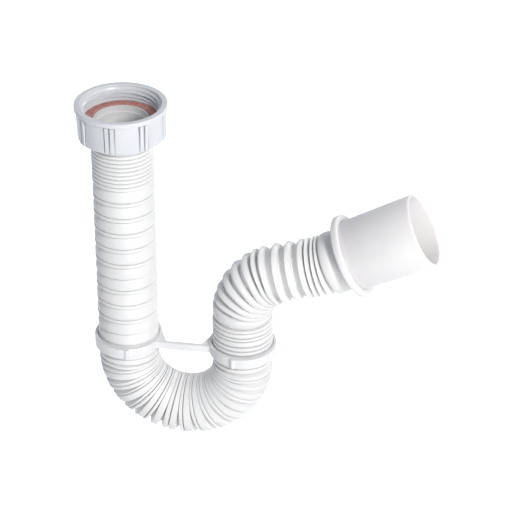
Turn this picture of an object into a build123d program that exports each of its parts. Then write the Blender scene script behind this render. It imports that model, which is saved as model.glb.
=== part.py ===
"""Extendable waste connector: union nut, washer, bellows hose with a U trap, trap clip and spigot."""

import os
from math import cos, pi, radians, sin

from build123d import *

# Origin at the centre of the nut's mouth, Z up, the outlet towards +X, the front of the trap at -Y.

# Union nut
thread_bore_d = 39.0
nut_wall = 3.6
nut_height = 18.0
rim_height = 2.6
rim_bevel = 0.8
thread_relief = 0.4
panel_recess = 1.3
rib_pairs = 8
rib_width = 2.0
rib_split = 0.7
rib_set_back = 0.3
rib_end_slope = 1.1
rib_turn = -93.0

# Washer, seated on the hose's flange inside the nut
washer_hole_d = 30.2
washer_thickness = 3.0
washer_depth = 8.2

# Bellows hose
crest_d = 33.0
leg_fold_depth = 1.15
bend_fold_depth = 1.5
hose_wall = 1.2
flange_thickness = 2.6
nose_drop = 0.4
shut_folds = 4
shut_pitch = 4.5
open_folds = 10
open_pitch = 11.7
flare_length = 1.5
lip_length = 0.8
leg_spacing = 63.5
u_folds = 10
riser_folds = 3
riser_pitch = 10.667
elbow_radius = 26.5
elbow_turn = 73.3
elbow_folds = 4
outlet_folds = 3
outlet_pitch = 8.0
fin_folds = 2
fin_pitch = 3.5
fin_turn = 10.6
cuff_d = 34.0
cuff_length = 10.0
cuff_flare = 2.0
cuff_taper = 4.0
cuff_neck_d = 30.4
cuff_neck_length = 4.0

# Trap clip
strap_thickness = 1.6
strap_height = 5.6
strap_overlap = 1.2
strap_end_angle = 8.0
catch_d = 2.6
clip_drop = 125.2
bar_thickness = 2.2
bar_height = 4.0
bar_forward = 6.5
bar_bite = 0.75
gusset_reach = 3.6
gusset_back_angle = 11.5
gusset_front_angle = 17.2

# Outlet spigot
spigot_d = 40.0
spigot_length = 40.0
spigot_wall = 1.6
lead_in = 1.0
lead_in_depth = 0.6
collar_d = 45.6
collar_thickness = 4.0
socket_stop = 1.4

# Clearances
nut_slip = 0.5
washer_slip = 0.35
nose_gap = 0.2
flange_slip = 0.5
seat_gap = 0.2
strap_gap = 0.3
socket_gap = 0.2

thread_r = thread_bore_d / 2
panel_r = thread_r + nut_wall
rim_r = panel_r + panel_recess
washer_r = thread_r - washer_slip
flange_r = thread_r - flange_slip
crest_r = crest_d / 2
root_r = crest_r - leg_fold_depth
bore_r = crest_r - bend_fold_depth - hose_wall
flange_top = -(washer_depth + washer_thickness)
flange_bottom = flange_top - flange_thickness
seat_z = flange_bottom - seat_gap
nut_bottom = -nut_height
hose_start = nut_bottom - seat_gap


def folds_along(count, length, depth):
    """Equal folds as (length along the route, radius) steps from one groove to the next.

    Each fold flares out of its groove to a plain band, and a short lip drops into the next groove.
    """
    band = length / count - flare_length - lip_length
    return [(flare_length, crest_r), (band, crest_r), (lip_length, crest_r - depth)] * count


u_radius = leg_spacing / 2
shut_length = shut_folds * shut_pitch
leg_length = shut_length + open_folds * open_pitch
riser_length = riser_folds * riser_pitch
outlet_length = outlet_folds * outlet_pitch
fin_length = fin_folds * fin_pitch
fin_radius = fin_length / radians(fin_turn)

# The route of the hose, in the plane of the trap.
with BuildLine(Plane.XZ) as route:
    leg = Line((0, hose_start), (0, hose_start - leg_length))
    bend = JernArc(leg @ 1, leg % 1, u_radius, 180)
    riser = Line(bend @ 1, (bend @ 1) + (bend % 1) * riser_length)
    elbow = JernArc(riser @ 1, riser % 1, elbow_radius, -elbow_turn)
    outlet = Line(elbow @ 1, (elbow @ 1) + (elbow % 1) * outlet_length)
    fins = JernArc(outlet @ 1, outlet % 1, fin_radius, fin_turn)
    tail = Line(fins @ 1, (fins @ 1) + (fins % 1) * (cuff_length + cuff_neck_length))

elbow_length = elbow_radius * radians(elbow_turn)
shut_run = folds_along(shut_folds, shut_length, leg_fold_depth)
runs = [
    (leg, shut_run + folds_along(open_folds, leg_length - shut_length, leg_fold_depth)),
    (bend, folds_along(u_folds, u_radius * pi, bend_fold_depth)),
    (riser, folds_along(riser_folds, riser_length, leg_fold_depth)),
    (elbow, folds_along(elbow_folds, elbow_length, bend_fold_depth)),
    (outlet, folds_along(outlet_folds, outlet_length, bend_fold_depth)),
    (fins, folds_along(fin_folds, fin_length, bend_fold_depth)),
    (
        tail,
        [
            (cuff_flare, cuff_d / 2),
            (cuff_length - cuff_flare - cuff_taper, cuff_d / 2),
            (cuff_taper, cuff_neck_d / 2),
            (cuff_neck_length, cuff_neck_d / 2),
        ],
    ),
]


def square_to(edge, share):
    """The plane across the route at a share of one of its edges."""
    return Plane(origin=edge @ share, x_dir=(0, 1, 0), z_dir=edge % share)


with BuildPart() as union_nut:
    with BuildSketch(Plane.XZ):
        with BuildLine():
            Polyline(
                (thread_r, 0),
                (rim_r - rim_bevel, 0),
                (rim_r, -rim_bevel),
                (rim_r, -rim_height),
                (panel_r, -rim_height),
                (panel_r, nut_bottom),
                (crest_r + nut_slip, nut_bottom),
                (crest_r + nut_slip, seat_z),
                (thread_r + thread_relief, seat_z),
                (thread_r + thread_relief, -washer_depth),
                (thread_r, -washer_depth),
                close=True,
            )
        make_face()
    revolve(axis=Axis.Z)
    rib_r = rim_r - rib_set_back
    for pair in range(rib_pairs):
        turn = rib_turn + pair * 360 / rib_pairs
        side = Plane(origin=(0, 0, 0), x_dir=(1, 0, 0), z_dir=(0, -1, 0)).rotated((0, 0, turn))
        for across in (-1, 1):
            with BuildSketch(side.offset(across * (rib_width + rib_split) / 2)):
                with BuildLine():
                    Polyline(
                        (panel_r - panel_recess, -rim_height),
                        (rib_r, -rim_height),
                        (rib_r, nut_bottom + rib_end_slope),
                        (rib_r - rib_end_slope, nut_bottom),
                        (panel_r - panel_recess, nut_bottom),
                        close=True,
                    )
                make_face()
            extrude(amount=rib_width / 2, both=True)
union_nut.part.label = "union_nut"

with BuildPart() as sealing_washer:
    with BuildSketch(Plane.XY.offset(flange_top)):
        Circle(washer_r)
        Circle(washer_hole_d / 2, mode=Mode.SUBTRACT)
    extrude(amount=washer_thickness)
sealing_washer.part.label = "sealing_washer"

# Planes and radii of the circles that the outside and the waterway are lofted through.
down = (0, 0, -1)
outer_rings = [
    (Plane(origin=(0, 0, flange_bottom), x_dir=(0, 1, 0), z_dir=down), root_r),
    (square_to(leg, 0), root_r),
]
for edge, steps in runs:
    length = sum(step for step, radius in steps)
    reached = 0
    for step, radius in steps:
        reached = reached + step
        outer_rings.append((square_to(edge, min(reached / length, 1)), radius))
nose_top = -(washer_depth + nose_drop)
bore_rings = [Plane(origin=(0, 0, nose_top), x_dir=(0, 1, 0), z_dir=down)]
for edge, pieces in ((leg, 1), (bend, 6), (riser, 1), (elbow, 3), (fins, 1), (tail, 1)):
    for piece in range(1, pieces + 1):
        bore_rings.append(square_to(edge, piece / pieces))

with BuildPart() as flexible_hose:
    for place, radius in outer_rings:
        with BuildSketch(place):
            Circle(radius)
    loft(ruled=True)
    with BuildSketch(Plane.XY.offset(flange_bottom)):
        Circle(flange_r)
    extrude(amount=flange_thickness)
    with BuildSketch(Plane.XY.offset(flange_top)):
        Circle(washer_hole_d / 2 - nose_gap)
    extrude(amount=nose_top - flange_top)
    for place in bore_rings:
        with BuildSketch(place):
            Circle(bore_r)
    loft(ruled=True, mode=Mode.SUBTRACT)
flexible_hose.part.label = "flexible_hose"

clip_z = hose_start - clip_drop
strap_inner = crest_r + strap_gap
strap_outer = strap_inner + strap_thickness
back_angle = radians(gusset_back_angle)
front_angle = radians(gusset_front_angle)
with BuildPart() as trap_clip:
    # One strap ring round each leg, mirrored: the long arm comes round the outside and laps the short one.
    with BuildSketch(Plane.XY.offset(clip_z - strap_height / 2)):
        for centre, outward in ((0, -1), (leg_spacing, 1)):
            with Locations((centre, 0)):
                Circle(strap_outer)
            with BuildSketch(mode=Mode.PRIVATE) as arm:
                with Locations((centre, -strap_overlap)):
                    Circle(strap_outer)
                end_x = centre - outward * strap_outer * sin(radians(strap_end_angle))
                reach = 2 * strap_outer
                with Locations((end_x + outward * reach / 2, -reach / 2)):
                    Rectangle(reach, reach, mode=Mode.INTERSECT)
            add(arm.sketch)
            with Locations((end_x, -strap_outer * cos(radians(strap_end_angle)) - strap_overlap / 2)):
                Circle(catch_d / 2)
        for centre in (0, leg_spacing):
            with Locations((centre, 0)):
                Circle(strap_inner, mode=Mode.SUBTRACT)
    extrude(amount=strap_height)
    with BuildSketch(Plane.XY.offset(clip_z - bar_height / 2)):
        with Locations((leg_spacing / 2, -bar_forward)):
            Rectangle(leg_spacing - 2 * strap_inner + 2 * bar_bite, bar_thickness)
        for centre, inward in ((0, 1), (leg_spacing, -1)):
            with BuildLine():
                Polyline(
                    (centre + inward * strap_outer * cos(back_angle), strap_outer * sin(back_angle)),
                    (centre + inward * (strap_outer + gusset_reach), bar_thickness / 2 - bar_forward),
                    (centre + inward * strap_outer * cos(front_angle), -strap_outer * sin(front_angle)),
                    close=True,
                )
            make_face()
        for centre in (0, leg_spacing):
            with Locations((centre, 0)):
                Circle(strap_inner, mode=Mode.SUBTRACT)
    extrude(amount=bar_height)
trap_clip.part.label = "trap_clip"

# The spigot is turned about the tail of the route, its collar at the foot of the cuff.
collar_share = cuff_length / (cuff_length + cuff_neck_length)
collar_end = square_to(tail, collar_share)
axial = Plane(origin=collar_end.origin, x_dir=(0, 1, 0), z_dir=collar_end.z_dir.cross(Vector(0, 1, 0)) * -1)
socket_r = cuff_neck_d / 2 + socket_gap
stop_z = cuff_neck_length + seat_gap
floor_z = stop_z + socket_stop
spigot_r = spigot_d / 2
tube_end = collar_thickness + spigot_length
with BuildPart() as outlet_spigot:
    with BuildSketch(axial):
        with BuildLine():
            Polyline(
                (socket_r, 0),
                (collar_d / 2, 0),
                (collar_d / 2, collar_thickness),
                (spigot_r, collar_thickness),
                (spigot_r, tube_end - lead_in),
                (spigot_r - lead_in_depth, tube_end),
                (spigot_r - spigot_wall, tube_end),
                (spigot_r - spigot_wall, floor_z),
                (bore_r, floor_z),
                (bore_r, stop_z),
                (socket_r, stop_z),
                close=True,
            )
        make_face()
    revolve(axis=Axis(collar_end.origin, collar_end.z_dir))
outlet_spigot.part.label = "outlet_spigot"

os.makedirs("parts", exist_ok=True)
export_step(union_nut.part, "parts/union_nut.step")
export_step(sealing_washer.part, "parts/sealing_washer.step")
export_step(flexible_hose.part, "parts/flexible_hose.step")
export_step(trap_clip.part, "parts/trap_clip.step")
export_step(outlet_spigot.part, "parts/outlet_spigot.step")
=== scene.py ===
from math import cos, pi, radians, sin

import bpy
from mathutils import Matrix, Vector

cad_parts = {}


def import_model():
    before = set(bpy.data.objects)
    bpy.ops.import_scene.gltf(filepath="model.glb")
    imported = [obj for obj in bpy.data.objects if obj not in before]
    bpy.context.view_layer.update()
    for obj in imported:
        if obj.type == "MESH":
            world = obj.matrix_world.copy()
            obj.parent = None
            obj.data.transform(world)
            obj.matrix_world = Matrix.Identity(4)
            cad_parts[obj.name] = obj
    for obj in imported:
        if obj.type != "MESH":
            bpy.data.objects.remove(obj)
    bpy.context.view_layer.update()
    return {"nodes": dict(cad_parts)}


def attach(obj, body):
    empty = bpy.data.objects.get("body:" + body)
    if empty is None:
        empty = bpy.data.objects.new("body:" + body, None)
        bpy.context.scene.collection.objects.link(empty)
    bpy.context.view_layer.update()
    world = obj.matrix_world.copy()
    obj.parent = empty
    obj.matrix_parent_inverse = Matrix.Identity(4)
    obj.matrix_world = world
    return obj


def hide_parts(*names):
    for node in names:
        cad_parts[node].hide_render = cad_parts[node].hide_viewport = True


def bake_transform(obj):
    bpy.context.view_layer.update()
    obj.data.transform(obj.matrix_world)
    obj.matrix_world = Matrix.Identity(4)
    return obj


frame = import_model()
MM = 0.001

# Sizes of the hose, in millimetres
CREST, BORE, NECK_BORE, INLET_BORE = 16.5, 12.4, 13.4, 14.1
LEG_TOP, LEG_END = -18.2, -153.2
FLANGE_TOP, FLANGE_BOTTOM, FLANGE_R, INLET_R = -11.2, -13.8, 19.0, 15.35
NOSE_TOP, NOSE_R, NOSE_DEPTH = -8.6, 14.9, 3.6
EDGE_ROUND, FLANGE_ROUND, FLANGE_MID = 0.3, 0.4, 0.12
SPACING, RISER, ELBOW_R, ELBOW_TURN = 63.5, 32.0, 26.5, 73.3
OUTLET, FINS, FIN_TURN = 24.0, 7.0, 10.6
CUFF_R, CUFF, NECK_R, NECK = 17.0, 10.0, 15.2, 4.0
CLIP_Z = -143.4
BORE_STEP, LEDGE_STEP = 4, 0.1

# Sizes of the nut, the washer and the spigot, in millimetres
THREAD_R, THREAD_DEPTH, THREAD_PITCH, MOUTH = 19.5, 1.45, 2.309, 1.7
THREAD_FOOT, THREAD_HEAD, THREAD_CLEAR, THREAD_ROWS = 0.5, 0.8, 0.2, 60
THREAD_CROWN, THREAD_SLOPE = 1.7, 4
MOUTH_STEP, MOUTH_ROUND = 0.2, 0.3
PANEL_R, RIM_R, RIM_HEIGHT, NUT_HEIGHT, NUT_ROUND = 23.1, 24.4, 2.6, 18.0, 0.4
LIP_R, SEAT_Z = 17.0, -14.0
RIB_HEIGHT, LINE_DEPTH, LINE_WIDTH = 1.0, 1.1, 0.6
RIB_PAIRS, RIB_TURN, RIB_WIDTH, RIB_SPLIT = 8, -93.0, 1.9, 0.9
RIB_FADE, RIB_FOOT, WALL_BAND = 1.1, 0.1, 1.0
WASHER_R, WASHER_HOLE_R, WASHER_DEPTH, WASHER_THICKNESS, WASHER_ROUND = 19.15, 15.1, 8.2, 3.0, 0.35
SPIGOT_R, SPIGOT_LENGTH, SPIGOT_WALL, SPIGOT_ROUND = 20.0, 40.0, 1.6, 0.6
COLLAR_R, COLLAR, COLLAR_ROUND = 22.8, 4.0, 1.1
SOCKET_R, SOCKET, STOP_R, STOP = 15.4, 4.2, 13.8, 1.4

# How fine the meshes are
AROUND, CORNER_STEPS, SHARP_ANGLE = 128, 4, 36
TINY, NEAR = 1e-6, 0.01


def clamped(value):
    """A value held between 0 and 1."""
    return min(1.0, max(0.0, value))


# The route of the hose
def route():
    """The hose's runs as (start x, start z, heading, length, turn), heading in radians above +X."""
    runs, x, z, heading = [], 0.0, LEG_TOP, -pi / 2
    for length, turn in (
        (LEG_TOP - LEG_END, 0.0),
        (SPACING / 2 * pi, pi),
        (RISER, 0.0),
        (ELBOW_R * radians(ELBOW_TURN), -radians(ELBOW_TURN)),
        (OUTLET, 0.0),
        (FINS, radians(FIN_TURN)),
        (CUFF + NECK, 0.0),
    ):
        runs.append((x, z, heading, length, turn))
        if turn:
            r = length / turn
            x += r * (sin(heading + turn) - sin(heading))
            z -= r * (cos(heading + turn) - cos(heading))
            heading += turn
        else:
            x += length * cos(heading)
            z += length * sin(heading)
    return runs


RUNS = route()
STARTS = [sum(run[3] for run in RUNS[:i]) for i in range(len(RUNS))]
BEND, RISE, TAIL = STARTS[1], STARTS[2], STARTS[6]
LEDGE = LEG_TOP - NOSE_TOP + NOSE_DEPTH


def along(s):
    """(x, z, heading) at a distance along the route; the leg runs on above its start."""
    i = max(k for k in range(len(RUNS)) if k == 0 or s >= STARTS[k] - 1e-9)
    x, z, heading, length, turn = RUNS[i]
    d = s - STARTS[i]
    if turn:
        r = length / turn
        h = heading + turn * d / length
        return x + r * (sin(h) - sin(heading)), z - r * (cos(h) - cos(heading)), h
    return x + d * cos(heading), z + d * sin(heading), heading


# Fold shapes, as (share of the pitch, share of the depth) from one groove towards the next
RIB = (
    (0.0, 1.0), (0.09, 0.97), (0.1, 0.3), (0.14, 0.17), (0.22, 0.06), (0.36, 0.0),
    (0.64, 0.0), (0.8, 0.02), (0.88, 0.08), (0.91, 0.2), (0.92, 0.97),
)
BAND = (
    (0.0, 1.0), (0.08, 0.97), (0.085, 0.46), (0.2, 0.35), (0.36, 0.17), (0.5, 0.07),
    (0.65, 0.02), (0.8, 0.0), (0.9, 0.01), (0.945, 0.06), (0.968, 0.2), (0.972, 0.97),
)
FIN = (
    (0.0, 1.0), (0.025, 0.98), (0.03, 0.85), (0.08, 0.66), (0.17, 0.28), (0.25, 0.03), (0.28, 0.0),
    (0.32, 0.015), (0.5, 0.14), (0.75, 0.42), (0.9, 0.68), (0.955, 0.83), (0.965, 0.98),
)
PLEAT = (
    (0.0, 1.0), (0.02, 0.98), (0.2, 0.66), (0.4, 0.31), (0.55, 0.05), (0.575, 0.012), (0.6, 0.0),
    (0.63, 0.012), (0.75, 0.1), (0.9, 0.3), (0.965, 0.48), (0.975, 0.98),
)

# A flank of the bend's open Vs and a shut slit, as (distance from the middle, share of the depth)
V_FLANK = ((0.0, 1.0), (0.14, 0.95), (0.65, 0.5), (1.15, 0.12), (1.3, 0.03), (1.6, 0.0))
SLIT = (
    (-0.6, 0.0), (-0.4, 0.05), (-0.24, 0.14), (-0.21, 0.9),
    (0.21, 0.9), (0.24, 0.14), (0.4, 0.05), (0.6, 0.0),
)

# Folds of the inlet leg: a shut run, then open bands, most of them with a shut fold after
SHUT_FOLDS, SHUT_RUN, SHUT_DEPTH = 11, 26.0, 2.8
BANDS, LONE_BANDS, BAND_PITCH, SHUT_PITCH, LEG_DEPTH = 12, (6, 10), 6.9, 2.5, 2.9

# Folds of the trap's bend, as (pitch, place of the shut slit in it as a share, or None)
BEND_DEPTH, V_REACH = 3.4, 0.45
BEND_FOLDS = (
    (3.0, None), (7.0, 0.34), (5.8, 0.48), (6.8, 0.32), (5.2, 0.46), (7.0, 0.63),
    (5.0, None), (7.8, 0.44), (7.8, 0.36), (7.8, 0.31), (7.2, 0.36), (7.2, 0.39),
    (5.2, None), (7.4, 0.41), (4.2, None), (5.35, 0.42),
)
V_MIDDLES = [BEND + sum(pitch for pitch, _ in BEND_FOLDS[:i]) for i in range(1, len(BEND_FOLDS))]

# Folds of the riser and the elbow, as (shape, pitch, depth)
RISER_FOLDS = (
    (BAND, 3.9, 2.9), (RIB, 2.2, 2.9), (BAND, 3.9, 2.9),
    (RIB, 2.7, 2.9), (RIB, 2.7, 2.9), (RIB, 2.7, 2.9), (RIB, 3.8, 2.9),
    (RIB, 2.0, 2.9), (RIB, 3.1, 2.9), (RIB, 1.9, 2.9), (BAND, 7.0, 3.2),
    (PLEAT, 3.2, 3.4), (PLEAT, 4.0, 3.6), (PLEAT, 4.9, 3.7), (PLEAT, 4.9, 3.7),
    (PLEAT, 4.9, 3.7), (PLEAT, 2.8, 3.5), (PLEAT, 3.1, 3.7),
)
ELBOW_PLEATS = [
    (RISE + sum(row[1] for row in RISER_FOLDS[:i]), row[1])
    for i, row in enumerate(RISER_FOLDS) if row[0] is PLEAT
]

# Folds of the outlet run and the fins, and the cuff's shape, as (share of its length, radius)
RUN_FOLDS, RUN_DEPTH = 3, 3.8
FIN_FOLDS, FIN_RUN, FIN_DEPTH = 3, 9.6, 3.6
CUFF_LEAD = 2.3
CUFF_SHAPE = (
    (0.0, 13.6), (0.02, 14.6), (0.06, 15.9), (0.12, 16.6), (0.2, 16.9), (0.3, CUFF_R),
    (0.42, CUFF_R), (0.5, 16.85), (0.56, 16.45), (0.64, 15.8), (0.76, 15.4), (0.9, 15.25),
)

# How grooves close towards the inside of a bend: which rings slide, how far, and round which part
V_WIDTH, PLEAT_TOP, SLIDE = 1.5, 0.57, 0.85
CLOSE_FROM, CLOSE_SPAN = 0.6, 1.1


def folds(start, rows):
    """Profile points of folds in a row, each given as (shape, pitch, depth)."""
    points, s = [], start
    for shape, pitch, depth in rows:
        points += [(s + pitch * u, CREST - depth * d) for u, d in shape]
        s += pitch
    return points


def leg_profile():
    """Nose, flange, inlet neck, a shut run of folds, then open bands that mostly end in a shut fold."""
    nose, top, under = LEG_TOP - NOSE_TOP, LEG_TOP - FLANGE_TOP, LEG_TOP - FLANGE_BOTTOM
    points = [
        (nose, NOSE_R - EDGE_ROUND), (nose + EDGE_ROUND, NOSE_R), (top, NOSE_R),
        (top, FLANGE_R - FLANGE_ROUND), (top + FLANGE_MID, FLANGE_R - FLANGE_MID),
        (top + FLANGE_ROUND, FLANGE_R), (under - EDGE_ROUND, FLANGE_R), (under, FLANGE_R - EDGE_ROUND),
        (under, INLET_R + EDGE_ROUND), (under + EDGE_ROUND, INLET_R),
    ]
    rows = [(RIB, SHUT_RUN / SHUT_FOLDS, SHUT_DEPTH)] * SHUT_FOLDS
    for number in range(1, BANDS + 1):
        rows.append((BAND, BAND_PITCH, LEG_DEPTH))
        if number not in LONE_BANDS:
            rows.append((RIB, SHUT_PITCH, LEG_DEPTH))
    rest = BEND - sum(row[1] for row in rows[:-1])
    rows[-1] = (RIB, rest, LEG_DEPTH)
    return points + folds(0.0, rows)


def bend_profile():
    """The trap's bend: open Vs, and between them folds, most of them doubled by a shut slit."""
    points, s = [], BEND
    for pitch, slit in BEND_FOLDS:
        reach = min(1.0, V_REACH * pitch / V_FLANK[-1][0])
        fold = [(reach * d, depth) for d, depth in V_FLANK]
        if slit:
            fold += [(slit * pitch + d, depth) for d, depth in SLIT]
        fold += [(pitch - reach * d, depth) for d, depth in V_FLANK[:0:-1]]
        points += [(s + d, CREST - BEND_DEPTH * depth) for d, depth in fold]
        s += pitch
    return points


def outlet_profile():
    """Shut folds on the riser, pleats round the elbow and to the fins, and the cuff."""
    run_start = RISE + sum(row[1] for row in RISER_FOLDS)
    cuff_start = TAIL - CUFF_LEAD
    fins = cuff_start - FIN_RUN
    points = folds(RISE, RISER_FOLDS)
    points += folds(run_start, [(PLEAT, (fins - run_start) / RUN_FOLDS, RUN_DEPTH)] * RUN_FOLDS)
    points += folds(fins, [(FIN, (cuff_start - fins) / FIN_FOLDS, FIN_DEPTH)] * FIN_FOLDS)
    length = TAIL + CUFF - cuff_start
    points += [(cuff_start + length * u, r) for u, r in CUFF_SHAPE]
    return points + [(TAIL + CUFF, NECK_R), (TAIL + CUFF + NECK, NECK_R)]


# Meshes
def solid(name, verts, faces):
    """An object with a smooth mesh whose faces all look outwards, from points in millimetres."""
    mesh = bpy.data.meshes.new(name)
    mesh.from_pydata([Vector(v) * MM for v in verts], [], faces)
    mesh.validate()
    obj = bpy.data.objects.new(name, mesh)
    bpy.context.scene.collection.objects.link(obj)
    bpy.context.view_layer.objects.active = obj
    obj.select_set(True)
    bpy.ops.object.mode_set(mode="EDIT")
    bpy.ops.mesh.select_all(action="SELECT")
    bpy.ops.mesh.normals_make_consistent(inside=False)
    bpy.ops.object.mode_set(mode="OBJECT")
    bpy.ops.object.select_all(action="DESELECT")
    mesh.polygons.foreach_set("use_smooth", [True] * len(mesh.polygons))
    mesh.set_sharp_from_angle(angle=radians(SHARP_ANGLE))
    return obj


def rings(name, loops):
    """A closed mesh through rings of equal length, the last one joined to the first."""
    around, n = len(loops[0]), len(loops)
    faces = []
    for i in range(n):
        j = (i + 1) % n
        for k in range(around):
            m = (k + 1) % around
            faces.append((i * around + k, i * around + m, j * around + m, j * around + k))
    return solid(name, [v for loop in loops for v in loop], faces)


def to_groove(s):
    """How far a ring on a flank lies from its groove, and the side (1 or -1) where that is shut."""
    for start, pitch in ELBOW_PLEATS:
        if start + TINY < s < start + PLEAT_TOP * pitch:
            return start - s, -1
    offset = min((middle - s for middle in V_MIDDLES), key=abs)
    return (offset, 1) if abs(offset) < V_WIDTH else (0.0, 1)


def ring_at(s, radius):
    """A ring across the route; in the bends it closes on its groove towards the inside."""
    offset, side = to_groove(s) if radius > BORE else (0.0, 1)
    ring = []
    for k in range(AROUND):
        a = 2 * pi * k / AROUND
        t = clamped((side * cos(a) + CLOSE_FROM) / CLOSE_SPAN)
        x, z, h = along(s + offset * SLIDE * t * t * (3 - 2 * t))
        ring.append((x - sin(h) * cos(a) * radius, sin(a) * radius, z + cos(h) * cos(a) * radius))
    return ring


def bore_at(s):
    """The radius of the waterway: wide in the nose, narrower past a ledge and again past the neck."""
    if s < LEDGE:
        return INLET_BORE
    return BORE if s > 0 else NECK_BORE


def hose_run(name, profile, start, end):
    """The stretch of the hose between two distances along its route, with its plain bore."""
    before = [p for p in profile if p[0] <= start]
    after = [p for p in profile if p[0] >= end]
    first = [(start, before[-1][1])] if before else []
    last = [(end, after[0][1])] if after else []
    outer = first + [p for p in profile if start < p[0] < end] + last
    low, length = outer[0][0], outer[-1][0] - outer[0][0]
    steps = max(2, int(length / BORE_STEP))
    inner = [low + length * i / steps for i in range(steps, -1, -1)]
    if start < LEDGE < end:
        inner = sorted(inner + [LEDGE, LEDGE - LEDGE_STEP], reverse=True)
    return rings(name, [ring_at(s, r) for s, r in outer] + [ring_at(s, bore_at(s)) for s in inner])


def rounded(corners, radius):
    """The points of a closed profile with its corners rounded, as far as its sides allow."""
    most = 0.45
    points = []
    for i, corner in enumerate(corners):
        here = Vector(corner)
        back = Vector(corners[i - 1]) - here
        on = Vector(corners[(i + 1) % len(corners)]) - here
        reach = min(radius, back.length * most, on.length * most)
        a, b = here + back.normalized() * reach, here + on.normalized() * reach
        for k in range(CORNER_STEPS + 1):
            t = k / CORNER_STEPS
            points.append(tuple(a * (1 - t) ** 2 + here * (2 * t * (1 - t)) + b * t ** 2))
    return points


def turned(name, profile, origin, axis):
    """A piece turned about an axis in the plane of the trap, from (radius, height) points."""
    ax, az = axis
    loops = []
    for r, h in profile:
        x, z = origin[0] + ax * h, origin[1] + az * h
        angles = [2 * pi * k / AROUND for k in range(AROUND)]
        loops.append([(x + az * r * cos(a), r * sin(a), z - ax * r * cos(a)) for a in angles])
    return rings(name, loops)


# Union nut
def from_pair(angle):
    """The distance round the nut's wall from the middle of the nearest pair of ribs."""
    turn = 360 / RIB_PAIRS
    return ((angle - RIB_TURN + turn / 2) % turn - turn / 2) * radians(1) * PANEL_R


def rib_height(angle):
    """How far the nut's wall stands out at an angle: a rib, a line cut beside it, or the plain wall."""
    past = abs(abs(from_pair(angle)) - (RIB_WIDTH + RIB_SPLIT) / 2) - RIB_WIDTH / 2
    if past < 0:
        return RIB_HEIGHT
    return -LINE_DEPTH if past < LINE_WIDTH else 0.0


def nut_angles():
    """Angles round the nut, close together at the ribs."""
    half, fine, coarse = 3.4, 56, 30
    near = [half * (2 * i / fine - 1) for i in range(fine)]
    sector = 2 * pi * PANEL_R / RIB_PAIRS
    far = [half + (sector - 2 * half) * i / coarse for i in range(coarse)]
    turns = [RIB_TURN + 360 / RIB_PAIRS * pair for pair in range(RIB_PAIRS)]
    return [turn + (off / PANEL_R) / radians(1) for turn in turns for off in near + far]


def thread_cut(angle, z):
    """How deep the thread is cut at an angle and height, as a share."""
    phase = (z / THREAD_PITCH - angle / 360) % 1.0
    flank = clamped(THREAD_CROWN - THREAD_SLOPE * abs(phase - 0.5))
    return flank * clamped(-MOUTH - z) * clamped(z + WASHER_DEPTH - THREAD_CLEAR)


def nut():
    """The union nut: rim, grip ribs and inside thread on one ring grid."""
    bottom, mouth_r = -NUT_HEIGHT, THREAD_R + MOUTH
    outside = rounded([
        (mouth_r, 0.0), (RIM_R, 0.0), (RIM_R, -RIM_HEIGHT), (PANEL_R, -RIM_HEIGHT),
        (PANEL_R, bottom), (LIP_R, bottom), (LIP_R, SEAT_Z), (THREAD_R, SEAT_Z),
    ], NUT_ROUND)
    foot, wall = SEAT_Z + THREAD_FOOT, -SEAT_Z - MOUTH - (THREAD_FOOT + THREAD_HEAD)
    thread = [(THREAD_R, foot + wall * i / THREAD_ROWS) for i in range(THREAD_ROWS + 1)]
    mouth = [(mouth_r - MOUTH_STEP, -MOUTH), (mouth_r, -MOUTH + MOUTH_ROUND)]
    angles = nut_angles()
    loops = []
    for r, z in outside + thread + mouth:
        on_wall = PANEL_R - WALL_BAND < r <= PANEL_R + NEAR and z < -RIM_HEIGHT + NEAR
        on_thread = (r, z) in thread
        fade = clamped((z - bottom) / RIB_FADE + RIB_FOOT)
        loop = []
        for degrees in angles:
            radius = r
            if on_wall:
                radius += rib_height(degrees) * fade
            if on_thread:
                radius += THREAD_DEPTH * thread_cut(degrees, z)
            loop.append((radius * cos(radians(degrees)), radius * sin(radians(degrees)), z))
        loops.append(loop)
    return rings("union_nut_moulding", loops)


# Materials
def new_material(name):
    """A material, its nodes and links, and its main shader."""
    mat = bpy.data.materials.new(name)
    mat.use_nodes = True
    return mat, mat.node_tree.nodes, mat.node_tree.links, mat.node_tree.nodes["Principled BSDF"]


def noise(nodes, links, coords, scale, detail=4.0, rough=0.55):
    """A noise texture's value."""
    texture = nodes.new("ShaderNodeTexNoise")
    texture.inputs["Scale"].default_value = scale
    texture.inputs["Detail"].default_value = detail
    texture.inputs["Roughness"].default_value = rough
    links.new(coords, texture.inputs["Vector"])
    return texture.outputs["Fac"]


def tint(nodes, links, source, stops, socket):
    """Colours by a value, from (place, colour) stops, into a socket."""
    ramp = nodes.new("ShaderNodeValToRGB")
    first, last = ramp.color_ramp.elements
    first.position, first.color = stops[0]
    last.position, last.color = stops[-1]
    for place, colour in stops[1:-1]:
        ramp.color_ramp.elements.new(place).color = colour
    links.new(source, ramp.inputs["Fac"])
    links.new(ramp.outputs["Color"], socket)


def spread(nodes, links, source, low, high, socket):
    """A value stretched from low to high, into a socket."""
    stretch = nodes.new("ShaderNodeMapRange")
    stretch.inputs["To Min"].default_value = low
    stretch.inputs["To Max"].default_value = high
    links.new(source, stretch.inputs["Value"])
    links.new(stretch.outputs["Result"], socket)


def emboss(nodes, links, source, strength, distance, socket):
    """A fine relief by a value, into a normal socket."""
    relief = nodes.new("ShaderNodeBump")
    relief.inputs["Strength"].default_value = strength
    relief.inputs["Distance"].default_value = distance
    links.new(source, relief.inputs["Height"])
    links.new(relief.outputs["Normal"], socket)


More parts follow.
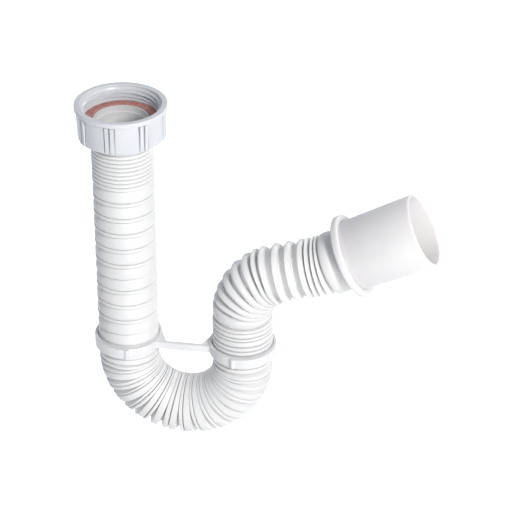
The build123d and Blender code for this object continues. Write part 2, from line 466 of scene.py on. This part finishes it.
def moulded(name, dark, light, rough, grain, bump, scatter, depth=0.0004):
    """A moulded finish: a slow change of tone, uneven gloss, a fine grain and light in the wall."""
    tone_scale, tone_low, tone_high = 38.0, 0.3, 0.7
    gloss_scale, gloss_spread = 160.0, 0.08
    grain_detail, grain_rough, grain_depth = 3.0, 0.6, 0.0002
    mat, nodes, links, shader = new_material(name)
    coords = nodes.new("ShaderNodeTexCoord").outputs["Object"]
    tone = noise(nodes, links, coords, tone_scale)
    stops = [(tone_low, (*dark, 1)), (tone_high, (*light, 1))]
    tint(nodes, links, tone, stops, shader.inputs["Base Color"])
    gloss = noise(nodes, links, coords, gloss_scale)
    spread(nodes, links, gloss, rough - gloss_spread, rough + gloss_spread, shader.inputs["Roughness"])
    texture = noise(nodes, links, coords, grain, grain_detail, grain_rough)
    emboss(nodes, links, texture, bump, grain_depth, shader.inputs["Normal"])
    shader.inputs["Subsurface Weight"].default_value = scatter
    shader.inputs["Subsurface Radius"].default_value = (1.0, 0.95, 0.9)
    shader.inputs["Subsurface Scale"].default_value = depth
    return mat


def rubber():
    """Red-brown washer: mottled, with pale and dark specks."""
    mottle_scale, mottle_detail, mottle_rough = 900.0, 6.0, 0.7
    stops = [(0.3, (0.26, 0.09, 0.075, 1)), (0.5, (0.48, 0.21, 0.18, 1)), (0.72, (0.68, 0.38, 0.34, 1))]
    rough_low, rough_high = 0.6, 0.85
    bump, bump_depth = 0.5, 0.0003
    mat, nodes, links, shader = new_material("washer_rubber")
    coords = nodes.new("ShaderNodeTexCoord").outputs["Object"]
    mottle = noise(nodes, links, coords, mottle_scale, mottle_detail, mottle_rough)
    tint(nodes, links, mottle, stops, shader.inputs["Base Color"])
    spread(nodes, links, mottle, rough_low, rough_high, shader.inputs["Roughness"])
    emboss(nodes, links, mottle, bump, bump_depth, shader.inputs["Normal"])
    return mat


def dress(obj, mat):
    """Give an object one material."""
    obj.data.materials.clear()
    obj.data.materials.append(mat)


hose_white = moulded(
    "hose_plastic", (0.69, 0.69, 0.69), (0.75, 0.745, 0.735),
    rough=0.42, grain=700.0, bump=0.12, scatter=0.04,
)
# Painted shade: the nut is the same white plastic as the hose, toned darker and bluer all over so that
# its shaded side comes out darker
nut_white_painted_shade = moulded(
    "nut_plastic", (0.59, 0.605, 0.635), (0.67, 0.68, 0.7),
    rough=0.34, grain=900.0, bump=0.1, scatter=0.03,
)
clip_white = moulded(
    "clip_plastic", (0.69, 0.69, 0.7), (0.75, 0.75, 0.75),
    rough=0.4, grain=800.0, bump=0.12, scatter=0.04,
)
spigot_white = moulded(
    "spigot_plastic", (0.7, 0.682, 0.682), (0.75, 0.732, 0.728),
    rough=0.42, grain=600.0, bump=0.1, scatter=0.85, depth=0.005,
)

# Hose, in three runs that meet under the clip's rings
BEFORE_ALL, AFTER_ALL, BLEND_MARGIN = -100.0, 1000.0, 4
ring_leg = LEG_TOP - CLIP_Z
ring_riser = RISE + CLIP_Z - LEG_END
profile = leg_profile() + bend_profile() + outlet_profile()
inlet_leg = hose_run("inlet_leg", profile, BEFORE_ALL, ring_leg)
trap_bend = hose_run("trap_bend", profile, ring_leg, ring_riser)
outlet_run = hose_run("outlet_run", profile, ring_riser, AFTER_ALL)
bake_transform(inlet_leg)
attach(trap_bend, "trap")
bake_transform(outlet_run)
for run in (inlet_leg, trap_bend, outlet_run):
    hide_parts("flexible_hose")
    dress(run, hose_white)

# Union nut in place
moulding = nut()
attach(moulding, "nut")
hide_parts("union_nut")
dress(moulding, nut_white_painted_shade)

# Washer
washer_top = -WASHER_DEPTH
washer_under = washer_top - WASHER_THICKNESS
washer_section = [
    (WASHER_HOLE_R, washer_under), (WASHER_R, washer_under),
    (WASHER_R, washer_top), (WASHER_HOLE_R, washer_top),
]
washer = turned("sealing_ring", rounded(washer_section, WASHER_ROUND), (0.0, 0.0), (0.0, 1.0))
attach(washer, "hose")
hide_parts("sealing_washer")
dress(washer, rubber())

# Outlet spigot: the collar, the two rounded corners of the tube's end, and the stop inside
tail_x, tail_z, tail_turn = along(TAIL + CUFF)
spigot_end = COLLAR + SPIGOT_LENGTH
inside_r = SPIGOT_R - SPIGOT_WALL
stop_top = SOCKET + STOP
collar = rounded(
    [(SOCKET_R, 0.0), (COLLAR_R, 0.0), (COLLAR_R, COLLAR), (SPIGOT_R, COLLAR)],
    COLLAR_ROUND,
)
tube = rounded(
    [(SPIGOT_R, COLLAR), (SPIGOT_R, spigot_end), (inside_r, spigot_end), (inside_r, stop_top)],
    SPIGOT_ROUND,
)
tube_end = tube[CORNER_STEPS + 1:3 * (CORNER_STEPS + 1)]
stop = [(inside_r, stop_top), (STOP_R, stop_top), (STOP_R, SOCKET), (SOCKET_R, SOCKET)]
spigot = turned(
    "spigot_tube", collar + tube_end + stop, (tail_x, tail_z), (cos(tail_turn), sin(tail_turn)),
)
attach(spigot, "outlet")
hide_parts("outlet_spigot")
dress(spigot, spigot_white)

# Trap clip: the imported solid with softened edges
clip = frame["nodes"]["trap_clip"]
weld = clip.modifiers.new("weld", "WELD")
weld.merge_threshold = 0.00001
soften = clip.modifiers.new("soften", "BEVEL")
soften.width = 0.0003
soften.segments = 2
soften.limit_method = "ANGLE"
soften.angle_limit = radians(35)
dress(clip, clip_white)

# Stage, light and camera, in metres
FILL_COLOUR, FILL_STRENGTH = (0.86, 0.91, 1.0, 1), 0.43
FLOOR_Z, FLOOR_HALF = -0.45, 6.0
FLOOR_COLOUR, FLOOR_ROUGH, FLOOR_GLOW = (0.9, 0.9, 0.9, 1), 0.9, 0.85
WHITE = (1, 1, 1, 1)
WARM, COOL = (1.0, 0.985, 0.96), (0.97, 0.985, 1.0)
CENTRE = (0.07, 0.0, -0.1)
LAMPS = (
    ("key", (0.85, -1.0, 0.75), 0.3, 15.0, WARM),
    ("front", (0.8, -1.2, 0.1), 0.5, 5.5, WARM),
    ("back", (0.5, 1.3, 0.6), 0.5, 5.0, COOL),
)
EYE, TARGET = (0.22776, -0.98598, 0.52087), (0.07637, -0.02994, -0.06822)
FOCAL_LENGTH, SENSOR_WIDTH = 153.27, 36.0


def if_seen(tree, plain, white):
    """One shader for what the camera sees, also in reflections, and another for the light it gives."""
    nodes, links = tree.nodes, tree.links
    path = nodes.new("ShaderNodeLightPath")
    either = path.outputs["Is Camera Ray"]
    for ray in ("Is Transmission Ray", "Is Glossy Ray"):
        largest = nodes.new("ShaderNodeMath")
        largest.operation = "MAXIMUM"
        links.new(either, largest.inputs[0])
        links.new(path.outputs[ray], largest.inputs[1])
        either = largest.outputs["Value"]
    mix = nodes.new("ShaderNodeMixShader")
    links.new(either, mix.inputs["Fac"])
    links.new(plain, mix.inputs[1])
    links.new(white, mix.inputs[2])
    return mix.outputs["Shader"]


def world():
    """A soft bluish fill from all round, which the camera sees as white."""
    studio = bpy.data.worlds.new("studio")
    bpy.context.scene.world = studio
    studio.use_nodes = True
    nodes, links = studio.node_tree.nodes, studio.node_tree.links
    fill = nodes["Background"]
    fill.inputs["Color"].default_value = FILL_COLOUR
    fill.inputs["Strength"].default_value = FILL_STRENGTH
    white = nodes.new("ShaderNodeBackground")
    white.inputs["Color"].default_value = WHITE
    white.inputs["Strength"].default_value = 1.0
    seen = if_seen(studio.node_tree, fill.outputs["Background"], white.outputs["Background"])
    links.new(seen, nodes["World Output"].inputs["Surface"])


def floor():
    """A pale floor well below, which keeps the shadow and looks white to the camera."""
    corners = [(x * FLOOR_HALF, y * FLOOR_HALF, FLOOR_Z) for x, y in ((-1, -1), (1, -1), (1, 1), (-1, 1))]
    mesh = bpy.data.meshes.new("floor")
    mesh.from_pydata(corners, [], [(0, 1, 2, 3)])
    obj = bpy.data.objects.new("floor", mesh)
    bpy.context.scene.collection.objects.link(obj)
    mat, nodes, links, shader = new_material("floor")
    shader.inputs["Base Color"].default_value = FLOOR_COLOUR
    shader.inputs["Roughness"].default_value = FLOOR_ROUGH
    glow = nodes.new("ShaderNodeEmission")
    glow.inputs["Color"].default_value = WHITE
    glow.inputs["Strength"].default_value = FLOOR_GLOW
    both = nodes.new("ShaderNodeAddShader")
    links.new(shader.outputs["BSDF"], both.inputs[0])
    links.new(glow.outputs["Emission"], both.inputs[1])
    seen = if_seen(mat.node_tree, shader.outputs["BSDF"], both.outputs["Shader"])
    links.new(seen, nodes["Material Output"].inputs["Surface"])
    mesh.materials.append(mat)


def aim(obj, place, target):
    """Put a lamp or the camera in its place and turn it to its target."""
    obj.location = place
    obj.rotation_euler = (Vector(target) - Vector(place)).to_track_quat("-Z", "Y").to_euler()
    bpy.context.scene.collection.objects.link(obj)


def lamp(name, place, size, power, colour):
    """A round soft lamp that looks at the middle of the part."""
    data = bpy.data.lights.new(name, "AREA")
    data.shape = "DISK"
    data.size = size
    data.energy = power
    data.color = colour
    aim(bpy.data.objects.new(name, data), place, CENTRE)


world()
floor()
for each in LAMPS:
    lamp(*each)
lens = bpy.data.cameras.new("camera")
lens.lens = FOCAL_LENGTH
lens.sensor_width = SENSOR_WIDTH
camera = bpy.data.objects.new("camera", lens)
aim(camera, EYE, TARGET)
bpy.context.scene.camera = camera
bpy.context.scene.view_settings.view_transform = "Standard"
